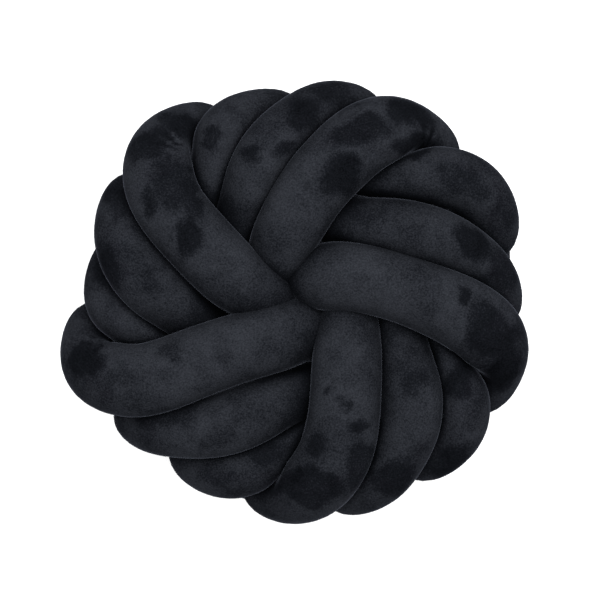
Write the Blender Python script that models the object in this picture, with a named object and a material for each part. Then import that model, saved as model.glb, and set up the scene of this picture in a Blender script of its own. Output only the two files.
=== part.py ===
"""Round knot cushion: one long filled velvet tube, tied as a tripled ring knot.

Lengths are in millimetres until the mesh is made in metres. Z is up, the right of the
picture is +X and its top is +Y. Angles run anticlockwise from +X, turns run clockwise.
A strand starts near the middle of one face, runs out over the rim, dives under its
neighbours and comes up near the middle of the other face.
"""

import math

import bpy
import numpy as np

MM = 0.001
TUBE_RADIUS = 31.5
REST_DEPTH = 89.0
LAYER_HEIGHT = 62.0
RIM_TUCK = 0.12
TUCK_START = 8.0
CONTACT = 43.0
CORE_SQUEEZE = 13.0
CORE_RADIUS = 60.0
SHOWN_HOLD = 0.35
HIDDEN_HOLD = 0.02
SEAM_GAP = 3.4
END_NOSE = 3.0
SECTION_ROUNDNESS = 5.5
OVERLAP_SHARE = 0.26
OVERLAP_SPAN = 10.0
SIDES = 12
RINGS = 492
CENTRE_STEP = 8.0
EASING_ROUNDS = 60
CLOSING_ROUNDS = 10
REGULAR_START = 125.4
BAND_TURN = 72.0
FACE_TURN = 108.0
BANDS = ("top", "right", "low_right", "low_left", "left")
BANDS_PER_RETURN = 3
START_TAIL = 4
LAST_LAP_DROPPED = (4, 3, 3)

# turn in degrees, radius and height in mm, and 1 where the strand shows on its face
INNER_LANE = (
    (0, 32, 54, 1),
    (25, 48, 66, 1),
    (44, 84, 69, 1),
    (54, 122, 65, 1),
    (60, 150, 54, 1),
    (67, 170, 30, 1),
    (76, 166, 2, 0),
    (84, 145, -14, 0),
    (92, 128, -24, 0),
    (98, 119, -32, 0),
    (101, 119, -44, 0),
)
MIDDLE_LANE = (
    (0, 80, 38, 1),
    (16, 97, 57, 1),
    (28, 122, 54, 1),
    (38, 148, 44, 1),
    (46, 168, 24, 1),
    (54, 168, 2, 0),
    (63, 148, -18, 0),
    (74, 112, -26, 0),
    (88, 88, -30, 0),
    (99, 79, -36, 0),
    (108, 80, -46, 0),
)
OUTER_LANE = (
    (-7, 119, 32, 1),
    (3, 136, 43, 1),
    (10, 152, 43, 1),
    (17, 168, 33, 1),
    (23, 174, 18, 1),
    (30, 171, 2, 0),
    (40, 150, -20, 0),
    (48, 118, -20, 0),
    (56, 86, -15, 0),
    (66, 62, -14, 0),
    (80, 46, -22, 0),
    (95, 38, -36, 0),
    (108, 32, -54, 0),
)
LANES = (INNER_LANE, MIDDLE_LANE, OUTER_LANE)
# rows of each lane that the start, middle and rim of a shown run move
RUN_ROWS = ((0, 2, 5), (0, 2, 4), (0, 2, 4))

# band, lane, then angle and radius of the start, the middle and the rim of the shown run
SHOWN_RUNS = {
    ("top", 0): ((128, 30), (85, 90), (56, 166)),
    ("top", 1): ((128, 81), (100, 124), (81, 159)),
    ("top", 2): ((126, 119), (114, 148), (104, 150)),
    ("right", 0): ((91, 23), (8, 85), (-17, 173)),
    ("right", 1): ((63, 71), (22, 124), (3, 161)),
    ("right", 2): ((58, 125), (36, 162), (25, 175)),
    ("low_right", 0): ((-17, 45), (-67.6, 106), (-93, 161)),
    ("low_right", 1): ((-22, 92), (-46, 133), (-68, 163)),
    ("low_right", 2): ((-21, 138), (-35, 165), (-43, 170)),
    ("low_left", 0): ((288, 23), (211, 98), (198, 184)),
    ("low_left", 1): ((271, 78), (236, 125), (219, 158)),
    ("low_left", 2): ((271, 117), (253, 146), (240, 154)),
    ("left", 0): ((192, 19), (148, 114), (130, 171)),
    ("left", 1): ((192, 86), (168, 138), (155, 155)),
    ("left", 2): ((193, 132), (181, 148), (174, 149)),
}


def clear_scene():
    for item in list(bpy.data.objects):
        bpy.data.objects.remove(item, do_unlink=True)


def polar(angle, radius, height):
    turn = math.radians(angle)
    return np.array((radius * math.cos(turn), radius * math.sin(turn), height))


def start_angle(band):
    return REGULAR_START - BAND_TURN * BANDS.index(band)


def run_shifts(lane, band):
    """How far the start, middle and rim of this shown run lie from the regular ones"""
    shifts = []
    for row, (angle, radius) in zip(RUN_ROWS[lane], SHOWN_RUNS[band, lane]):
        turn, regular_radius, _, _ = LANES[lane][row]
        regular = polar(start_angle(band) - turn, regular_radius, 0)
        shifts.append(polar(angle, radius, 0) - regular)
    return np.array(shifts)


def upper_strand(lane, band):
    """Stations from a top crest down to the other face"""
    shifts = run_shifts(lane, band)
    rows = (*RUN_ROWS[lane], RUN_ROWS[lane][-1] + 3)
    stations = []
    for index, (turn, radius, height, _) in enumerate(LANES[lane]):
        move = [np.interp(index, rows, (*shifts[:, axis], 0.0)) for axis in range(3)]
        stations.append(polar(start_angle(band) - turn, radius, height) + move)
    return stations


def lower_strand(lane, band, next_band):
    """Stations from a bottom crest up to the top crest of the next band"""
    first_shift = run_shifts(2 - lane, next_band)[0]
    last = len(LANES[lane]) - 1
    stations = []
    for index, (turn, radius, height, _) in enumerate(LANES[lane]):
        share = max(0.0, 1 - (last - index) / 3)
        place = polar(start_angle(band) - FACE_TURN - turn, radius, -height)
        stations.append(place + share * first_shift)
    return stations


def tube_stations():
    """All three laps in a row: each ends one lane further out, hidden under a band"""
    stations = lower_strand(2, BANDS[2], BANDS[0])[-START_TAIL:-1]
    shown = [0] * len(stations)
    for lane in range(3):
        place = 0
        for lap in range(len(BANDS)):
            band = BANDS[place % 5]
            next_band = BANDS[(place + BANDS_PER_RETURN) % 5]
            down = upper_strand(lane, band)[:-1]
            dropped = LAST_LAP_DROPPED[lane] if lap == len(BANDS) - 1 else 1
            up = lower_strand(2 - lane, band, next_band)[:-dropped]
            stations += down + up
            shown += [row[3] for row in LANES[lane][:-1]] + [0] * len(up)
            place += BANDS_PER_RETURN
    return np.array(stations), np.array(shown, float)


def curve_through(points, tags, cuts=10):
    """Smooth curve through the stations, with each tag blended along it"""
    padded = np.vstack((2 * points[0] - points[1], points, 2 * points[-1] - points[-2]))
    pieces = []
    blends = []
    for index in range(1, len(padded) - 2):
        p0, p1, p2, p3 = padded[index - 1 : index + 3]
        t1 = math.sqrt(np.linalg.norm(p1 - p0))
        t2 = t1 + math.sqrt(np.linalg.norm(p2 - p1))
        t3 = t2 + math.sqrt(np.linalg.norm(p3 - p2))
        t = np.linspace(t1, t2, cuts, endpoint=False)[:, None]
        a1 = (t1 - t) / t1 * p0 + t / t1 * p1
        a2 = (t2 - t) / (t2 - t1) * p1 + (t - t1) / (t2 - t1) * p2
        a3 = (t3 - t) / (t3 - t2) * p2 + (t - t2) / (t3 - t2) * p3
        b1 = (t2 - t) / t2 * a1 + t / t2 * a2
        b2 = (t3 - t) / (t3 - t1) * a2 + (t - t1) / (t3 - t1) * a3
        share = (t - t1) / (t2 - t1)
        pieces.append((1 - share) * b1 + share * b2)
        blends.append(tags[index - 1] * (1 - share[:, 0]) + tags[index] * share[:, 0])
    return np.vstack(pieces + [padded[-2:-1]]), np.concatenate(blends + [tags[-1:]])


def lengths_along(points):
    return np.concatenate(([0.0], np.cumsum(np.linalg.norm(np.diff(points, axis=0), axis=1))))


def respaced(points, tags, count, measure):
    """The curve again with count points, evenly spaced in the given measure"""
    marks = np.linspace(0, measure[-1], count)
    moved = [np.interp(marks, measure, points[:, axis]) for axis in range(3)]
    return np.stack(moved, 1), np.interp(marks, measure, tags)


def rim_limit(points):
    """Largest distance from the axis at each point's angle, from the rims of the shown runs"""
    rims = np.array([run[2] for run in SHOWN_RUNS.values()])
    angles = np.degrees(np.arctan2(points[:, 1], points[:, 0]))
    outermost = np.interp(angles, rims[:, 0], rims[:, 1], period=360)
    return outermost - RIM_TUCK * np.clip(TUCK_START - points[:, 2], 0, None)


def smoothed(points, share=0.5):
    result = points.copy()
    result[1:-1] += share * (points[2:] + points[:-2] - 2 * points[1:-1]) / 2
    return result


def close_pairs(points, reach):
    """Pairs of points nearer than reach, leaving out a point's own stretch of the tube"""
    rows = []
    columns = []
    skip = int(1.9 * CONTACT / CENTRE_STEP)
    for index in range(len(points) - skip):
        rest = points[index + skip :]
        near = np.nonzero(((rest - points[index]) ** 2).sum(1) < reach**2)[0]
        rows.append(np.full(len(near), index))
        columns.append(near + index + skip)
    return np.concatenate(rows), np.concatenate(columns)


def eased_apart(points, hold):
    """Passes moved sideways until they lie a squeezed tube's width apart"""
    home = points.copy()
    count = len(points)
    for turn in range(EASING_ROUNDS):
        if turn % 6 == 0:
            first, second = close_pairs(points, CONTACT + 16)
        points = smoothed(points)
        points = points + hold[:, None] * (home - points)
        for _ in range(3):
            gap = points[first] - points[second]
            distance = np.linalg.norm(gap, axis=1)
            middle = (points[first] + points[second]) / 2
            core = np.exp(-(middle[:, :2] ** 2).sum(1) / CORE_RADIUS**2)
            short = np.clip(CONTACT - CORE_SQUEEZE * core - distance, 0, None)
            push = gap * (0.6 * short / distance)[:, None]
            touching = np.bincount(first, short > 0, count) + np.bincount(second, short > 0, count)
            for axis in range(3):
                moved = np.bincount(first, push[:, axis], count)
                moved -= np.bincount(second, push[:, axis], count)
                points[:, axis] += moved / np.maximum(touching, 1)
            points[:, 2] = np.clip(points[:, 2], -LAYER_HEIGHT, LAYER_HEIGHT + 4)
            radius = np.hypot(points[:, 0], points[:, 1])
            points[:, :2] *= np.minimum(1, rim_limit(points) / radius)[:, None]
    for _ in range(CLOSING_ROUNDS):
        points = smoothed(points)
    return points


def section_frames(points):
    """Unit tangents and two cross directions carried along the tube without twist"""
    tangents = np.gradient(points, axis=0)
    tangents /= np.linalg.norm(tangents, axis=1)[:, None]
    side = np.cross(tangents[0], (0.0, 0.0, 1.0))
    side /= np.linalg.norm(side)
    sides = [side]
    for tangent in tangents[1:]:
        side = side - tangent * side.dot(tangent)
        side /= np.linalg.norm(side)
        sides.append(side)
    sides = np.array(sides)
    return tangents, sides, np.cross(tangents, sides)


def section_radii(rings, ring_marks, rays, bends, points, marks):
    """Distance from the centre line to the cloth along every ray of every ring.

    A free ray is TUBE_RADIUS long. Where another pass is near, the ray stops short of a
    plane between the two centre lines, so that a seam gap is left. The pass that lies
    further out from the middle of the cushion keeps its round shape, so the plane is
    nearer to the other one.
    """
    own_stretch = 1.3 * CONTACT
    radii = np.empty(rays.shape[:2])
    for index, (centre, mark) in enumerate(zip(rings, ring_marks)):
        offset = points - centre
        distance = np.linalg.norm(offset, axis=1)
        near = (distance < 2.6 * TUBE_RADIUS) & (np.abs(marks - mark) > own_stretch)
        free = np.full(rays.shape[1], TUBE_RADIUS)
        if near.any():
            facing = rays[index] @ offset[near].T
            lead = (abs(centre[2]) - np.abs(points[near, 2])) / OVERLAP_SPAN
            reach = distance[near] * (distance[near] - SEAM_GAP) / 2
            reach *= 1 + OVERLAP_SHARE * np.tanh(lead)
            stops = np.where(facing > 1e-3, reach / np.maximum(facing, 1e-3), 1e3).min(1)
            power = SECTION_ROUNDNESS
            free = (free**-power + stops**-power) ** (-1 / power)
        from_end = min(mark, marks[-1] - mark) + END_NOSE
        if from_end < TUBE_RADIUS:
            free *= math.sqrt(1 - (1 - from_end / TUBE_RADIUS) ** 2)
        inward = rays[index] @ bends[index]
        inner = np.where(inward > 1e-6, 0.75 / np.maximum(inward, 1e-6), 1e3)
        radii[index] = np.minimum(free, inner)
    return radii


def tube_mesh(points):
    marks = lengths_along(points)
    bend = np.zeros_like(points)
    bend[1:-1] = (points[2:] + points[:-2] - 2 * points[1:-1]) / CENTRE_STEP**2
    weight = 1 + 14 * np.linalg.norm(smoothed(smoothed(bend)), axis=1)
    measure = np.concatenate(([0.0], np.cumsum(np.diff(marks) * (weight[1:] + weight[:-1]) / 2)))
    rings, ring_marks = respaced(points, marks, RINGS, measure)
    bends = np.stack([np.interp(ring_marks, marks, bend[:, axis]) for axis in range(3)], 1)
    _, sides, lifts = section_frames(rings)
    turns = np.linspace(0, 2 * math.pi, SIDES, endpoint=False)
    rays = sides[:, None] * np.cos(turns)[:, None] + lifts[:, None] * np.sin(turns)[:, None]
    fine, fine_marks = respaced(points, marks, 2 * len(points), marks)
    radii = section_radii(rings, ring_marks, rays, bends, fine, fine_marks)
    cloth = rings[:, None] + rays * radii[:, :, None]
    caps = np.array((rings[0], rings[-1]))
    vertices = np.vstack((cloth.reshape(-1, 3), caps))
    vertices[:, 2] = np.maximum(vertices[:, 2], -REST_DEPTH) + REST_DEPTH
    vertices[:, :2] -= (vertices[:, :2].min(0) + vertices[:, :2].max(0)) / 2
    faces = []
    for ring in range(RINGS - 1):
        for side in range(SIDES):
            after = (side + 1) % SIDES
            near, near_after = ring * SIDES + side, ring * SIDES + after
            faces.append((near, near_after, near_after + SIDES, near + SIDES))
    first_cap = RINGS * SIDES
    last_ring = (RINGS - 1) * SIDES
    for side in range(SIDES):
        after = (side + 1) % SIDES
        faces.append((first_cap, after, side))
        faces.append((first_cap + 1, last_ring + side, last_ring + after))
    return vertices, faces


def velvet():
    material = bpy.data.materials.new("black_velvet")
    material.use_nodes = True
    surface = material.node_tree.nodes["Principled BSDF"]
    surface.inputs["Base Color"].default_value = (0.012, 0.013, 0.016, 1.0)
    surface.inputs["Roughness"].default_value = 0.9
    return material


def build():
    clear_scene()
    stations, shown = tube_stations()
    curve, shown = curve_through(stations, shown)
    measure = lengths_along(curve)
    count = int(round(measure[-1] / CENTRE_STEP)) + 1
    centre_line, shown = respaced(curve, shown, count, measure)
    centre_line = eased_apart(centre_line, HIDDEN_HOLD + SHOWN_HOLD * shown)
    vertices, faces = tube_mesh(centre_line)
    mesh = bpy.data.meshes.new("knot_tube")
    mesh.from_pydata((vertices * MM).tolist(), [], faces)
    mesh.materials.append(velvet())
    mesh.shade_smooth()
    knot = bpy.data.objects.new("knot_tube", mesh)
    cushion = bpy.data.collections.new("knot_cushion")
    bpy.context.scene.collection.children.link(cushion)
    cushion.objects.link(knot)


build()
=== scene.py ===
"""Round knot cushion in black velvet, lying on its back and seen from straight above.

One long filled tube is tied as a tripled ring knot. Lengths are in millimetres until the
mesh is made in metres. Z is up, the right of the picture is +X and its top is +Y. Angles
run anticlockwise from +X, turns run clockwise. A strand starts near the middle of one
face, runs out over the rim, dives under its neighbours and comes up near the middle of
the other face.
"""

import math

import bpy
import numpy as np
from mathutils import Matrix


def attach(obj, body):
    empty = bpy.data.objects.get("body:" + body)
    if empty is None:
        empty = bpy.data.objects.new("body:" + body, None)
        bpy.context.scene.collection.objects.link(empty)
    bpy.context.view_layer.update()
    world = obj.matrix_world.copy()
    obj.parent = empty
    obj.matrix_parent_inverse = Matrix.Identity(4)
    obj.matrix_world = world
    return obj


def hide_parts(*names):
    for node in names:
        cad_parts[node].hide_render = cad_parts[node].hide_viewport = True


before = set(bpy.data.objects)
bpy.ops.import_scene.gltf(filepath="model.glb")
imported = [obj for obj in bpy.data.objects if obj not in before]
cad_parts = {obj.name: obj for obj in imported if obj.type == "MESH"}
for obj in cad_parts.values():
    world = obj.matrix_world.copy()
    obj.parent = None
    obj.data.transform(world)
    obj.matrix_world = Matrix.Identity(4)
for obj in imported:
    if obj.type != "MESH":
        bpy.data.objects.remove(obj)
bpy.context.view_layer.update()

MM = 0.001

# the tube's path, the same as in the CAD
TUBE_RADIUS = 31.5
REST_DEPTH = 89.0
LAYER_HEIGHT = 62.0
TOP_RISE = 4.0
RIM_TUCK = 0.12
TUCK_START = 8.0
CONTACT = 43.0
CORE_SQUEEZE = 13.0
CORE_RADIUS = 60.0
SHOWN_HOLD = 0.35
HIDDEN_HOLD = 0.02
END_NOSE = 3.0
CENTRE_STEP = 8.0
CURVE_CUTS = 10
EASING_ROUNDS = 60
EASING_STRETCH = 1.9 * CONTACT
PAIR_ROUNDS = 6
PAIR_MARGIN = 16.0
PUSHES = 3
PUSH_SHARE = 0.6
CLOSING_ROUNDS = 10
REGULAR_START = 125.4
BAND_TURN = 72.0
FACE_TURN = 108.0
BANDS = ("top", "right", "low_right", "low_left", "left")
BANDS_PER_RETURN = 3
LAST_LANE = 2
FADE_ROWS = 3
START_TAIL = 4
LAST_LAP_DROPPED = (4, 3, 3)

# the section of the cloth: how passes press on each other and fill the room between them
PRESS = 6.5
OWN_STRETCH = 1.3 * CONTACT
NEIGHBOUR_REACH = 2.6 * TUBE_RADIUS
SECTION_ROUNDNESS = 4.8
ROUNDNESS_SHARE = 0.3
OVERLAP_SHARE = 0.26
OVERLAP_SPAN = 10.0
CORE_FILL = 0.32
CORE_FILL_RADIUS = 40.0
HIDDEN_FILL = 0.3
HIDDEN_SPAN = 32.0
HIDDEN_RADIUS = 125.0
INNER_BEND_LIMIT = 0.52
LEAST_FACING = 1e-3
LEAST_INWARD = 1e-6
NO_STOP = 1000.0
EVENING_ROUNDS = 24

# the mesh, finer than in the CAD, with rings that lie closer at bends and at fans of folds
SIDES = 40
RINGS = 2440
RING_CUTS = 6
NEIGHBOUR_CUTS = 2
BEND_RINGS = 40.0
FOLD_RINGS = 10.0
FOLD_RINGS_SPREAD = 32.0
FOLD_RINGS_HEIGHT = 30.0

# uneven stuffing
LUMP_WAVES = 3
LUMP_HEIGHT = 0.7
LUMP_LENGTH = 70.0
LUMP_SEED = 10
LUMP_PHASE_SEED = 20

# folds across the tube, where a bend pushes the cloth together
PUCKER_DEPTH = 3.2
PUCKER_LENGTH = 17.0
PUCKER_START = 0.25
PUCKER_FULL = 0.75
PUCKER_SHARPNESS = 1.6
PUCKER_STRENGTH = 0.65
# how far these wander along the tube, over what length in mm, and the seed
PUCKER_PACE_SWING = (0.4, 45, 31)
PUCKER_LEAN_SWING = (0.6, 60, 32)
PUCKER_STRENGTH_SWING = (0.35, 17, 33)

# fans of folds: the last brings the highest value of x * (1 - x) ** 2 to 1
FOLD_SHARPNESS = 1.5
FOLD_PEAK = 6.75

# height over which brushed marks and fans of folds come in above the middle of the cushion
UPPER_FADE = 20.0

# how much darker the pile is in brushed marks, and how deep the painted shade is towards the rim,
# in creases where cloth is tucked and in the valleys of folds
MARK_DEPTH = 0.47
MARK_SHARPNESS = 6
PAINTED_RIM_SHADE_START = 50.0
PAINTED_RIM_SHADE_SPREAD = 110.0
PAINTED_RIM_SHADE = 0.07
PAINTED_CREASE_SHADE_FROM = 1.0
PAINTED_CREASE_SHADE_SPAN = 0.4
UPPER_PAINTED_CREASE_SHADE_LOSS = 0.9
PAINTED_CREASE_SHADE_DEPTH = 0.58
PAINTED_FOLD_SHADE = 0.35
# the marks' edges waver: how far and from crest to crest in mm, and the seeds across and up
EDGE_WAVERS = (
    (2.6, 30, 1, 3),
    (1.2, 11, 2, 4),
)
WAVES = 6
LEAST_PACE = 0.75
MOST_PACE = 1.35

# the pile's noise patterns, and the range of each that is stretched to a share of the tone
CLOUDS = {"Scale": 16.0, "Detail": 3.0, "Roughness": 0.5, "Distortion": 0.2}
SMUDGES = {"Scale": 60.0, "Detail": 3.0, "Roughness": 0.55, "Distortion": 0.3}
FIBRES = {"Scale": 700.0, "Detail": 2.0, "Roughness": 0.7, "Distortion": 0.0}
CLOUD_RANGE = {"From Min": 0.3, "From Max": 0.62, "To Min": 0.69, "To Max": 0.88}
SMUDGE_RANGE = {"From Min": 0.42, "From Max": 0.66, "To Min": 0.0, "To Max": 0.1}
GRAIN_GAIN = 1.1
GRAIN_BASE = -0.59
# the tone from flattened pile and the deepest painted shade to upright pile: place on the ramp,
# and colour
PILE_TONES = (
    (0.0, (0.0012, 0.0014, 0.0018, 1.0)),
    (0.45, (0.0043, 0.0048, 0.0062, 1.0)),
    (1.0, (0.0184, 0.0200, 0.0243, 1.0)),
)
PILE_SURFACE = {
    "Roughness": 0.85,
    "Specular IOR Level": 0.0,
    "Sheen Weight": 0.1,
    "Sheen Roughness": 0.2,
    "Sheen Tint": (0.62, 0.68, 0.85, 1.0),
}
PILE_BUMP = {"Strength": 0.35, "Distance": 0.0006}

# the floor and the light, in metres and watts
FLOOR_HALF = 6.0
FLOOR_SURFACE = {
    "Base Color": (0.93, 0.93, 0.93, 1.0),
    "Roughness": 0.9,
    "Specular IOR Level": 0.0,
}
SKY = {"Color": (1.0, 1.0, 1.0, 1.0), "Strength": 0.95}
LAMP_PLACE = (0.2, 0.45, 2.1)
LAMP_AIM = (0.0, 0.0, 0.09)
LAMP_SIZE = 2.8
LAMP_POWER = 105.0

# the camera, straight above the cushion
CAMERA_PLACE = (0.0054, 0.0018, 1.595)
SENSOR_WIDTH = 36.0
PICTURE_WIDTH = 519.0
CAMERA_DISTANCE = 1500.0

# turn in degrees, radius and height in mm, and 1 where the strand shows on its face
INNER_LANE = (
    (0, 32, 54, 1),
    (25, 48, 66, 1),
    (44, 84, 69, 1),
    (54, 122, 65, 1),
    (60, 150, 54, 1),
    (67, 170, 30, 1),
    (76, 166, 2, 0),
    (84, 145, -14, 0),
    (92, 128, -24, 0),
    (98, 119, -32, 0),
    (101, 119, -44, 0),
)
MIDDLE_LANE = (
    (0, 80, 38, 1),
    (16, 97, 57, 1),
    (28, 122, 54, 1),
    (38, 148, 44, 1),
    (46, 168, 24, 1),
    (54, 168, 2, 0),
    (63, 148, -18, 0),
    (74, 112, -26, 0),
    (88, 88, -30, 0),
    (99, 79, -36, 0),
    (108, 80, -46, 0),
)
OUTER_LANE = (
    (-7, 119, 32, 1),
    (3, 136, 43, 1),
    (10, 152, 43, 1),
    (17, 168, 33, 1),
    (23, 174, 18, 1),
    (30, 171, 2, 0),
    (40, 150, -20, 0),
    (48, 118, -20, 0),
    (56, 86, -15, 0),
    (66, 62, -14, 0),
    (80, 46, -22, 0),
    (95, 38, -36, 0),
    (108, 32, -54, 0),
)
LANES = (INNER_LANE, MIDDLE_LANE, OUTER_LANE)
# rows of each lane that the start, middle and rim of a shown run move
RUN_ROWS = ((0, 2, 5), (0, 2, 4), (0, 2, 4))

# band, lane, then angle and radius of the start, the middle and the rim of the shown run
SHOWN_RUNS = {
    ("top", 0): ((128, 30), (85, 90), (56, 166)),
    ("top", 1): ((128, 81), (100, 124), (81, 159)),
    ("top", 2): ((126, 119), (114, 148), (104, 150)),
    ("right", 0): ((91, 23), (8, 85), (-17, 173)),
    ("right", 1): ((63, 71), (22, 124), (3, 161)),
    ("right", 2): ((58, 125), (36, 162), (25, 175)),
    ("low_right", 0): ((-17, 45), (-67.6, 106), (-93, 161)),
    ("low_right", 1): ((-22, 92), (-46, 133), (-68, 163)),
    ("low_right", 2): ((-21, 138), (-35, 165), (-43, 170)),
    ("low_left", 0): ((288, 23), (211, 98), (198, 184)),
    ("low_left", 1): ((271, 78), (236, 125), (219, 158)),
    ("low_left", 2): ((271, 117), (253, 146), (240, 154)),
    ("left", 0): ((192, 19), (148, 114), (130, 171)),
    ("left", 1): ((192, 86), (168, 138), (155, 155)),
    ("left", 2): ((193, 132), (181, 148), (174, 149)),
}

# fans of small folds where the cloth is pinched on the inside of a rim bend: x and y of the
# pinch in mm, the middle fold's angle and half the fan's angle in degrees, how many folds,
# and their length and depth in mm
FOLD_FANS = (
    (-91, 124, 132, 40, 3, 38, 2.8),
    (109, 124, 68, 36, 3, 38, 2.6),
    (-152, -38, 168, 26, 3, 38, 2.4),
    (6, -132, 255, 34, 3, 22, 1.5),
    (151, -52, 335, 30, 3, 30, 1.6),
)

# places on the upper face where the pile is brushed the dark way: x, y, half length and
# half width in mm, the long side's angle, and how dark the mark is
BRUSHED_MARKS = (
    (-86, 53, 17, 10, 80, 1.0),
    (-81, 76, 10, 9, 0, 0.6),
    (-118, 82, 12, 6, 100, 0.8),
    (-100, 97, 24, 18, 110, 0.7),
    (-122, 130, 19, 13, 30, 0.8),
    (-96, 149, 17, 11, -20, 0.8),
    (-68, 135, 9, 8, 90, 0.8),
    (-36, 122, 9, 8, 0, 0.85),
    (-9, 126, 11, 5, 40, 0.8),
    (8, 156, 15, 13, 60, 0.75),
    (38, 173, 21, 10, -20, 0.4),
    (38, 104, 17, 14, 45, 0.9),
    (55, 141, 24, 12, 15, 0.9),
    (98, 157, 19, 13, -20, 0.9),
    (99, 130, 18, 8, 10, 0.9),
    (142, 100, 25, 12, -25, 0.4),
    (176, 74, 20, 12, 80, 0.4),
    (148, 50, 17, 11, -35, 0.95),
    (176, 28, 18, 13, -60, 0.6),
    (140, 7, 7, 6, 0, 0.9),
    (163, -22, 24, 20, -40, 0.8),
    (176, -56, 20, 12, 80, 0.8),
    (30, -71, 6, 4, 20, 0.8),
    (42, -82, 7, 4, -20, 0.8),
    (53, -100, 11, 5, -10, 0.7),
    (18, -117, 11, 9, 60, 0.6),
    (16, -152, 30, 16, 0, 0.85),
    (55, -134, 20, 11, 75, 0.7),
    (99, -65, 13, 9, 60, 0.3),
    (81, -147, 20, 14, 30, 0.8),
    (137, -65, 14, 10, 80, 0.7),
    (133, -134, 18, 14, 30, 0.8),
    (-101, -41, 9, 7, 0, 0.6),
    (-58, -44, 10, 7, 10, 0.45),
    (-174, -48, 18, 12, 0, 0.8),
    (-140, -60, 12, 8, 0, 0.35),
    (-105, -95, 26, 9, 10, 0.35),
    (-62, -112, 16, 8, 15, 0.4),
    (-62, -143, 17, 9, 10, 0.45),
    (-23, -126, 14, 9, 20, 0.5),
    (-148, 87, 18, 10, 110, 0.55),
    (-116, 13, 9, 9, 0, 0.4),
    (-157, 26, 18, 14, 90, 0.6),
)


def polar(angle, radius, height):
    turn = math.radians(angle)
    return np.array((radius * math.cos(turn), radius * math.sin(turn), height))


def start_angle(band):
    return REGULAR_START - BAND_TURN * BANDS.index(band)


def run_shifts(lane, band):
    """How far the start, middle and rim of this shown run lie from the regular ones"""
    shifts = []
    for row, (angle, radius) in zip(RUN_ROWS[lane], SHOWN_RUNS[band, lane]):
        turn, regular_radius, _, _ = LANES[lane][row]
        regular = polar(start_angle(band) - turn, regular_radius, 0)
        shifts.append(polar(angle, radius, 0) - regular)
    return np.array(shifts)


def upper_strand(lane, band):
    """Stations from a top crest down to the other face"""
    shifts = run_shifts(lane, band)
    rows = (*RUN_ROWS[lane], RUN_ROWS[lane][-1] + FADE_ROWS)
    stations = []
    for index, (turn, radius, height, _) in enumerate(LANES[lane]):
        move = [np.interp(index, rows, (*shifts[:, axis], 0.0)) for axis in range(3)]
        stations.append(polar(start_angle(band) - turn, radius, height) + move)
    return stations


def lower_strand(lane, band, next_band):
    """Stations from a bottom crest up to the top crest of the next band"""
    first_shift = run_shifts(LAST_LANE - lane, next_band)[0]
    last = len(LANES[lane]) - 1
    stations = []
    for index, (turn, radius, height, _) in enumerate(LANES[lane]):
        share = max(0.0, 1 - (last - index) / FADE_ROWS)
        place = polar(start_angle(band) - FACE_TURN - turn, radius, -height)
        stations.append(place + share * first_shift)
    return stations


def tube_stations():
    """All three laps in a row: each ends one lane further out, hidden under a band"""
    stations = lower_strand(LAST_LANE, BANDS[2], BANDS[0])[-START_TAIL:-1]
    shown = [0] * len(stations)
    for lane in range(len(LANES)):
        place = 0
        for strand in range(len(BANDS)):
            band = BANDS[place % len(BANDS)]
            next_band = BANDS[(place + BANDS_PER_RETURN) % len(BANDS)]
            down = upper_strand(lane, band)[:-1]
            dropped = LAST_LAP_DROPPED[lane] if strand == len(BANDS) - 1 else 1
            up = lower_strand(LAST_LANE - lane, band, next_band)[:-dropped]
            stations += down + up
            shown += [row[3] for row in LANES[lane][:-1]] + [0] * len(up)
            place += BANDS_PER_RETURN
    return np.array(stations), np.array(shown, float)


def curve_through(points, tags, cuts):
    """Smooth curve through the points in short steps, with each point's tag blended along it"""
    padded = np.vstack((2 * points[0] - points[1], points, 2 * points[-1] - points[-2]))
    pieces = []
    blends = []
    for index in range(1, len(padded) - 2):
        p0, p1, p2, p3 = padded[index - 1 : index + 3]
        t1 = math.sqrt(np.linalg.norm(p1 - p0))
        t2 = t1 + math.sqrt(np.linalg.norm(p2 - p1))
        t3 = t2 + math.sqrt(np.linalg.norm(p3 - p2))
        t = np.linspace(t1, t2, cuts, endpoint=False)[:, None]
        a1 = (t1 - t) / t1 * p0 + t / t1 * p1
        a2 = (t2 - t) / (t2 - t1) * p1 + (t - t1) / (t2 - t1) * p2
        a3 = (t3 - t) / (t3 - t2) * p2 + (t - t2) / (t3 - t2) * p3
        b1 = (t2 - t) / t2 * a1 + t / t2 * a2
        b2 = (t3 - t) / (t3 - t1) * a2 + (t - t1) / (t3 - t1) * a3
        share = (t - t1) / (t2 - t1)
        pieces.append((1 - share) * b1 + share * b2)
        blends.append(tags[index - 1] * (1 - share[:, 0]) + tags[index] * share[:, 0])
    return np.vstack(pieces + [padded[-2:-1]]), np.concatenate(blends + [tags[-1:]])


def lengths_along(points):
    return np.concatenate(([0.0], np.cumsum(np.linalg.norm(np.diff(points, axis=0), axis=1))))


def respaced(points, tags, count, measure):
    """The curve again with count points, evenly spaced in the given measure"""
    marks = np.linspace(0, measure[-1], count)
    moved = [np.interp(marks, measure, points[:, axis]) for axis in range(3)]
    return np.stack(moved, 1), np.interp(marks, measure, tags)


def rim_limit(points):
    """Largest distance from the axis at each point's angle, from the rims of the shown runs"""
    rims = np.array([run[2] for run in SHOWN_RUNS.values()])
    angles = np.degrees(np.arctan2(points[:, 1], points[:, 0]))
    outermost = np.interp(angles, rims[:, 0], rims[:, 1], period=360)
    return outermost - RIM_TUCK * np.clip(TUCK_START - points[:, 2], 0, None)


def smoothed(points):
    """Every point moved halfway to the middle of its two neighbours"""
    result = points.copy()
    result[1:-1] += (points[2:] + points[:-2] - 2 * points[1:-1]) / 4
    return result


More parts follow.
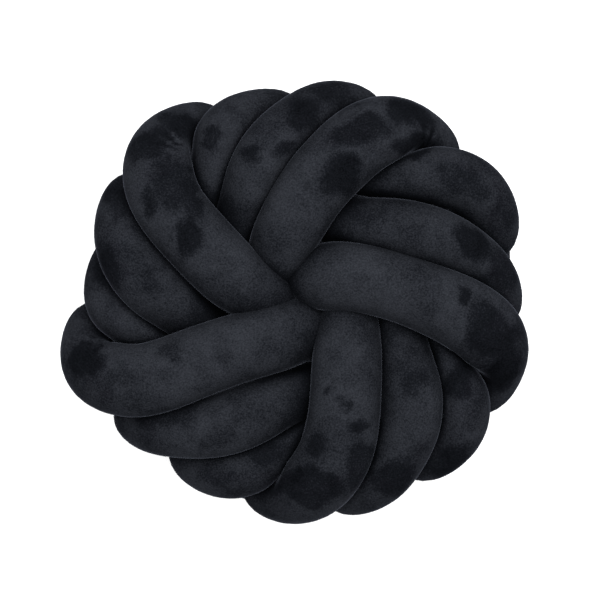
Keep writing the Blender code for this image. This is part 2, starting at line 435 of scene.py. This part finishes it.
def close_pairs(points, reach):
    """Pairs of points nearer than reach, leaving out a point's own stretch of the tube"""
    rows = []
    columns = []
    skip = int(EASING_STRETCH / CENTRE_STEP)
    for index in range(len(points) - skip):
        rest = points[index + skip :]
        near = np.nonzero(((rest - points[index]) ** 2).sum(1) < reach**2)[0]
        rows.append(np.full(len(near), index))
        columns.append(near + index + skip)
    return np.concatenate(rows), np.concatenate(columns)


def eased_apart(points, hold):
    """Passes moved sideways until they lie a squeezed tube's width apart"""
    home = points.copy()
    count = len(points)
    for turn in range(EASING_ROUNDS):
        if turn % PAIR_ROUNDS == 0:
            first, second = close_pairs(points, CONTACT + PAIR_MARGIN)
        points = smoothed(points)
        points = points + hold[:, None] * (home - points)
        for _ in range(PUSHES):
            gap = points[first] - points[second]
            distance = np.linalg.norm(gap, axis=1)
            middle = (points[first] + points[second]) / 2
            core = np.exp(-(middle[:, :2] ** 2).sum(1) / CORE_RADIUS**2)
            short = np.clip(CONTACT - CORE_SQUEEZE * core - distance, 0, None)
            push = gap * (PUSH_SHARE * short / distance)[:, None]
            touching = np.bincount(first, short > 0, count) + np.bincount(second, short > 0, count)
            for axis in range(3):
                moved = np.bincount(first, push[:, axis], count)
                moved -= np.bincount(second, push[:, axis], count)
                points[:, axis] += moved / np.maximum(touching, 1)
            points[:, 2] = np.clip(points[:, 2], -LAYER_HEIGHT, LAYER_HEIGHT + TOP_RISE)
            radius = np.hypot(points[:, 0], points[:, 1])
            points[:, :2] *= np.minimum(1, rim_limit(points) / radius)[:, None]
    for _ in range(CLOSING_ROUNDS):
        points = smoothed(points)
    return points


def section_frames(points):
    """Two cross directions at every point, carried along the tube without twist"""
    tangents = np.gradient(points, axis=0)
    tangents /= np.linalg.norm(tangents, axis=1)[:, None]
    side = np.cross(tangents[0], (0.0, 0.0, 1.0))
    side /= np.linalg.norm(side)
    sides = [side]
    for tangent in tangents[1:]:
        side = side - tangent * side.dot(tangent)
        side /= np.linalg.norm(side)
        sides.append(side)
    sides = np.array(sides)
    return sides, np.cross(tangents, sides)


def wandering(marks, swing, length, seed):
    """Smooth irregular values between -swing and swing along the tube, one bend every length"""
    values = np.random.default_rng(seed).uniform(-1, 1, int(marks[-1] / length) + 4)
    place = marks / length
    before = place.astype(int)
    share = place - before
    share = share * share * (3 - 2 * share)
    return swing * (values[before] * (1 - share) + values[before + 1] * share)


def free_radii(marks, turns):
    """The loose tube's radius on every ray: the stuffing is a little uneven"""
    lumps = np.zeros((len(marks), len(turns)))
    for wave in range(LUMP_WAVES):
        swell = wandering(marks, 1.0, LUMP_LENGTH, LUMP_SEED + wave)
        phase = wandering(marks, math.pi, 2 * LUMP_LENGTH, LUMP_PHASE_SEED + wave)
        lumps += swell[:, None] * np.cos(wave * turns[None] + phase[:, None])
    return TUBE_RADIUS + LUMP_HEIGHT * lumps


def ray_stops(length, facing, least):
    """Where each ray meets a plane that it faces by more than the least amount"""
    return np.where(facing > least, length / np.maximum(facing, least), NO_STOP)


def shorter(first, second, power):
    """Nearly the smaller of two lengths, rounded off where they are alike"""
    return (first**-power + second**-power) ** (-1 / power)


def section_radii(rings, ring_marks, rays, bends, points, marks, free_all):
    """Distance to the cloth along every ray of every ring, and how much painted shade it gets
    where it is tucked in against a neighbour.

    A free ray is as long as the loose tube's radius. Where another pass is near, the ray
    stops at a plane between the two centre lines, pressed a little into its neighbour.
    The pass nearer to the upper or lower face keeps its round shape, so the plane is nearer
    to the other one, which slopes down to it. Passes that meet at the centre close it, and
    hidden ones fill more of the room between their neighbours.
    """
    radii = np.empty(rays.shape[:2])
    painted_crease_shade = np.zeros(rays.shape[:2])
    for index, (centre, mark) in enumerate(zip(rings, ring_marks)):
        offset = points - centre
        distance = np.linalg.norm(offset, axis=1)
        near = (distance < NEIGHBOUR_REACH) & (np.abs(marks - mark) > OWN_STRETCH)
        from_axis = math.hypot(centre[0], centre[1])
        to_axis = np.clip(-rays[index, :, :2] @ centre[:2] / from_axis, 0, 1)
        fill = 1 + CORE_FILL * to_axis * math.exp(-((from_axis / CORE_FILL_RADIUS) ** 2))
        hidden = math.exp(-((centre[2] / HIDDEN_SPAN) ** 2)) * (from_axis < HIDDEN_RADIUS)
        free = free_all[index] * fill * (1 + HIDDEN_FILL * hidden)
        if near.any():
            facing = rays[index] @ offset[near].T
            lead = np.tanh((abs(centre[2]) - np.abs(points[near, 2])) / OVERLAP_SPAN)
            reach = distance[near] * (distance[near] + PRESS) / 2 * (1 + OVERLAP_SHARE * lead)
            stops = ray_stops(reach, facing, LEAST_FACING)
            leads = lead[stops.argmin(1)]
            stops = stops.min(1) * fill
            # painted shade: the pile is darkened where this pass presses on a neighbour, much less
            # on the pass that lies above
            closeness = np.clip((free / stops - PAINTED_CREASE_SHADE_FROM) / PAINTED_CREASE_SHADE_SPAN, 0, 1)
            painted_crease_shade[index] = closeness * (1 - UPPER_PAINTED_CREASE_SHADE_LOSS * (1 + leads) / 2)
            power = SECTION_ROUNDNESS * (1 + ROUNDNESS_SHARE * leads)
            free = shorter(free, stops, power)
        from_end = min(mark, marks[-1] - mark) + END_NOSE
        if from_end < TUBE_RADIUS:
            free = free * math.sqrt(1 - (1 - from_end / TUBE_RADIUS) ** 2)
        inner = ray_stops(INNER_BEND_LIMIT, rays[index] @ bends[index], LEAST_INWARD)
        radii[index] = shorter(free, inner, SECTION_ROUNDNESS)
    for _ in range(EVENING_ROUNDS):
        for values in (radii, painted_crease_shade):
            values[2:-2] = (values[1:-3] + 2 * values[2:-2] + values[3:-1]) / 4
    return radii, painted_crease_shade


def puckers(ring_marks, rays, bends):
    """Small folds across the tube on the inside of its bends, as changes of the radius"""
    squeezed = np.einsum("rsk,rk->rs", rays, bends) * TUBE_RADIUS
    depth = np.clip((squeezed - PUCKER_START) / (PUCKER_FULL - PUCKER_START), 0, 1)
    pace = 1 + wandering(ring_marks, *PUCKER_PACE_SWING)
    phase = np.concatenate(([0.0], np.cumsum(np.diff(ring_marks) * pace[1:]))) / PUCKER_LENGTH
    lean = wandering(ring_marks, *PUCKER_LEAN_SWING)[:, None] * squeezed
    strength = PUCKER_STRENGTH + wandering(ring_marks, *PUCKER_STRENGTH_SWING)
    valley = (1 - np.abs(np.sin(math.pi * (phase[:, None] + lean)))) ** PUCKER_SHARPNESS
    return -PUCKER_DEPTH * strength[:, None] * depth * valley


def upper_share(height):
    """0 up to the middle of the cushion's height, and 1 a little above it"""
    return np.clip((height - REST_DEPTH) / UPPER_FADE, 0, 1)


def fan_folds(vertices):
    """How deep each point of the upper face lies in a fan of folds"""
    across, up, height = vertices.T
    depths = np.zeros(len(vertices))
    for x, y, heading, half_angle, folds, length, depth in FOLD_FANS:
        away = np.hypot(across - x, up - y) / length
        turn = np.degrees(np.arctan2(up - y, across - x)) - heading
        place = ((turn + 180) % 360 - 180) / half_angle
        inside = np.clip(1 - place**2, 0, 1)
        valley = (0.5 + 0.5 * np.cos(math.pi * place * folds)) ** FOLD_SHARPNESS
        reach = FOLD_PEAK * away * np.clip(1 - away, 0, 1) ** 2
        depths += depth * inside * valley * reach
    return depths * upper_share(height)


def ring_measure(points, marks, bend):
    """Length along the tube, stretched wherever the rings have to lie closer together"""
    weight = 1 + BEND_RINGS * np.linalg.norm(bend, axis=1)
    for x, y, *_ in FOLD_FANS:
        away = np.hypot(points[:, 0] - x, points[:, 1] - y) / FOLD_RINGS_SPREAD
        weight += FOLD_RINGS * np.exp(-(away**2)) * (points[:, 2] > FOLD_RINGS_HEIGHT)
    return np.concatenate(([0.0], np.cumsum(np.diff(marks) * (weight[1:] + weight[:-1]) / 2)))


def tube_faces():
    """Faces from each ring to the next, and from the end rings to the two last vertices"""
    faces = []
    for ring in range(RINGS - 1):
        for side in range(SIDES):
            near = ring * SIDES + side
            after = ring * SIDES + (side + 1) % SIDES
            faces.append((near, after, after + SIDES, near + SIDES))
    first_cap = RINGS * SIDES
    last_ring = (RINGS - 1) * SIDES
    for side in range(SIDES):
        after = (side + 1) % SIDES
        faces.append((first_cap, after, side))
        faces.append((first_cap + 1, last_ring + side, last_ring + after))
    return faces


def tube_vertices(points):
    """Every point of the cloth, ring by ring, and how much painted shade each gets in creases and
    fold valleys
    """
    marks = lengths_along(points)
    bend = np.zeros_like(points)
    bend[1:-1] = (points[2:] + points[:-2] - 2 * points[1:-1]) / CENTRE_STEP**2
    bend = smoothed(smoothed(bend))
    smooth_points, smooth_marks = curve_through(points, marks, RING_CUTS)
    smooth_measure = np.interp(smooth_marks, marks, ring_measure(points, marks, bend))
    rings, ring_marks = respaced(smooth_points, smooth_marks, RINGS, smooth_measure)
    bends = np.stack([np.interp(ring_marks, marks, bend[:, axis]) for axis in range(3)], 1)
    sides, lifts = section_frames(rings)
    turns = np.linspace(0, 2 * math.pi, SIDES, endpoint=False)
    rays = sides[:, None] * np.cos(turns)[:, None] + lifts[:, None] * np.sin(turns)[:, None]
    fine, fine_marks = respaced(points, marks, NEIGHBOUR_CUTS * len(points), marks)
    free = free_radii(ring_marks, turns)
    radii, painted_crease_shade = section_radii(rings, ring_marks, rays, bends, fine, fine_marks, free)
    radii += puckers(ring_marks, rays, bends)
    cloth = rings[:, None] + rays * radii[:, :, None]
    vertices = np.vstack((cloth.reshape(-1, 3), rings[0], rings[-1]))
    vertices[:, 2] = np.maximum(vertices[:, 2], -REST_DEPTH) + REST_DEPTH
    vertices[:, :2] -= (vertices[:, :2].min(0) + vertices[:, :2].max(0)) / 2
    dents = fan_folds(vertices)
    vertices[:, 2] -= dents
    # painted shade in the valleys of the fans of folds, joined with the painted crease shade
    return vertices, np.maximum(np.append(painted_crease_shade, (0.0, 0.0)), PAINTED_FOLD_SHADE * dents)


def wavering(across, up, length, seed):
    """Smooth irregular values from about -1 to 1 over the plane, with crests a length apart"""
    random = np.random.default_rng(seed)
    total = np.zeros(len(across))
    for _ in range(WAVES):
        heading, start = random.uniform(0, 2 * math.pi, 2)
        pace = 2 * math.pi / (length * random.uniform(LEAST_PACE, MOST_PACE))
        total += np.sin(pace * (across * math.cos(heading) + up * math.sin(heading)) + start)
    return 2 * total / WAVES


def brushing_and_painted_shade(vertices, painted_crease_shade):
    """How dark each point's pile is: brushed marks, painted shade towards the rim and painted
    shade in creases and fold valleys
    """
    across, up, height = vertices.T
    x_place, y_place = across, up
    for size, length, x_seed, y_seed in EDGE_WAVERS:
        x_place = x_place + size * wavering(across, up, length, x_seed)
        y_place = y_place + size * wavering(across, up, length, y_seed)
    marks = np.zeros(len(vertices))
    for x, y, half_length, half_width, angle, strength in BRUSHED_MARKS:
        turn = math.radians(angle)
        length = (x_place - x) * math.cos(turn) + (y_place - y) * math.sin(turn)
        width = (y_place - y) * math.cos(turn) - (x_place - x) * math.sin(turn)
        spread = (length / half_length) ** 2 + (width / half_width) ** 2
        marks = np.maximum(marks, strength / (1 + spread**MARK_SHARPNESS))
    marks *= MARK_DEPTH * upper_share(height)
    # painted shade: the pile's colour is darkened towards the rim
    painted_rim_shade = np.clip((np.hypot(across, up) - PAINTED_RIM_SHADE_START) / PAINTED_RIM_SHADE_SPREAD, 0, 1)
    marks += PAINTED_RIM_SHADE * painted_rim_shade * (1 - marks)
    # painted shade in creases and fold valleys
    return marks + PAINTED_CREASE_SHADE_DEPTH * painted_crease_shade * (1 - marks)


def set_inputs(node, values):
    for name, value in values.items():
        node.inputs[name].default_value = value


def noise(nodes, links, coordinates, settings):
    texture = nodes.new("ShaderNodeTexNoise")
    set_inputs(texture, settings)
    links.new(coordinates, texture.inputs["Vector"])
    return texture.outputs["Fac"]


def stretched(nodes, links, value, settings):
    """A value brought smoothly from one range to another"""
    stretch = nodes.new("ShaderNodeMapRange")
    stretch.interpolation_type = "SMOOTHSTEP"
    set_inputs(stretch, settings)
    links.new(value, stretch.inputs["Value"])
    return stretch.outputs["Result"]


def combined(nodes, links, operation, *values):
    """Numbers and other nodes' results put together in one calculation"""
    node = nodes.new("ShaderNodeMath")
    node.operation = operation
    for socket, value in zip(node.inputs, values):
        if isinstance(value, float):
            socket.default_value = value
        else:
            links.new(value, socket)
    return node.outputs["Value"]


def velvet():
    """Black velvet: dark pile with a bluish bloom, marks where it is brushed, painted shade at the
    rim, in creases and in fold valleys, and short fibres
    """
    material = bpy.data.materials.new("velvet_pile")
    material.use_nodes = True
    nodes = material.node_tree.nodes
    links = material.node_tree.links
    surface = nodes["Principled BSDF"]
    set_inputs(surface, PILE_SURFACE)
    coordinates = nodes.new("ShaderNodeTexCoord").outputs["Object"]
    # the brushed marks together with the painted rim, crease and fold shade
    marks = nodes.new("ShaderNodeAttribute")
    marks.attribute_name = "brushed_and_painted_shade"
    fibres = noise(nodes, links, coordinates, FIBRES)
    clouds = stretched(nodes, links, noise(nodes, links, coordinates, CLOUDS), CLOUD_RANGE)
    smudges = stretched(nodes, links, noise(nodes, links, coordinates, SMUDGES), SMUDGE_RANGE)
    lit = combined(nodes, links, "SUBTRACT", clouds, smudges)
    lit = combined(nodes, links, "SUBTRACT", lit, marks.outputs["Fac"])
    grain = combined(nodes, links, "MULTIPLY_ADD", fibres, GRAIN_GAIN, GRAIN_BASE)
    lit = combined(nodes, links, "ADD", lit, grain)
    tone = nodes.new("ShaderNodeValToRGB")
    tone.color_ramp.elements.new(0.5)
    for element, (place, colour) in zip(tone.color_ramp.elements, PILE_TONES):
        element.position = place
        element.color = colour
    links.new(lit, tone.inputs["Fac"])
    links.new(tone.outputs["Color"], surface.inputs["Base Color"])
    bump = nodes.new("ShaderNodeBump")
    set_inputs(bump, PILE_BUMP)
    links.new(fibres, bump.inputs["Height"])
    links.new(bump.outputs["Normal"], surface.inputs["Normal"])
    return material


def velvet_tube():
    """The whole visible cushion: one piece that stands for the CAD's filled tube"""
    stations, shown = tube_stations()
    curve, shown = curve_through(stations, shown, CURVE_CUTS)
    measure = lengths_along(curve)
    count = int(round(measure[-1] / CENTRE_STEP)) + 1
    centre_line, shown = respaced(curve, shown, count, measure)
    centre_line = eased_apart(centre_line, HIDDEN_HOLD + SHOWN_HOLD * shown)
    vertices, painted_crease_shade = tube_vertices(centre_line)
    mesh = bpy.data.meshes.new("velvet_tube")
    mesh.from_pydata((vertices * MM).tolist(), [], tube_faces())
    # the brushed marks with the painted shade at the rim, in creases and in fold valleys
    brushed_and_painted_shade = mesh.attributes.new("brushed_and_painted_shade", "FLOAT", "POINT")
    brushed_and_painted_shade.data.foreach_set("value", brushing_and_painted_shade(vertices, painted_crease_shade))
    mesh.materials.append(velvet())
    mesh.shade_smooth()
    tube = bpy.data.objects.new("velvet_tube", mesh)
    bpy.context.scene.collection.objects.link(tube)
    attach(tube, "root")
    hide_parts("knot_tube")


def floor():
    material = bpy.data.materials.new("pale_floor")
    material.use_nodes = True
    set_inputs(material.node_tree.nodes["Principled BSDF"], FLOOR_SURFACE)
    mesh = bpy.data.meshes.new("floor")
    half = FLOOR_HALF
    corners = [(-half, -half, 0), (half, -half, 0), (half, half, 0), (-half, half, 0)]
    mesh.from_pydata(corners, [], [(0, 1, 2, 3)])
    mesh.materials.append(material)
    ground = bpy.data.objects.new("floor", mesh)
    bpy.context.scene.collection.objects.link(ground)


def lamp():
    """A square soft light that faces the middle of the cushion"""
    data = bpy.data.lights.new("overhead", "AREA")
    data.shape = "SQUARE"
    data.size = LAMP_SIZE
    data.energy = LAMP_POWER
    light = bpy.data.objects.new("overhead", data)
    light.location = LAMP_PLACE
    aim = np.array(LAMP_AIM) - np.array(LAMP_PLACE)
    heading = math.atan2(aim[1], aim[0])
    tilt = math.atan2(math.hypot(aim[0], aim[1]), -aim[2])
    light.rotation_euler = (tilt, 0.0, heading - math.pi / 2)
    bpy.context.scene.collection.objects.link(light)


def sky():
    """Even white light from all round, with colours shown as they are"""
    world = bpy.data.worlds.new("soft_studio")
    world.use_nodes = True
    set_inputs(world.node_tree.nodes["Background"], SKY)
    bpy.context.scene.world = world
    bpy.context.scene.view_settings.view_transform = "Standard"


def camera():
    data = bpy.data.cameras.new("camera")
    data.sensor_width = SENSOR_WIDTH
    data.lens = SENSOR_WIDTH * CAMERA_DISTANCE / PICTURE_WIDTH
    eye = bpy.data.objects.new("camera", data)
    eye.location = CAMERA_PLACE
    bpy.context.scene.collection.objects.link(eye)
    bpy.context.scene.camera = eye


velvet_tube()
floor()
sky()
lamp()
camera()
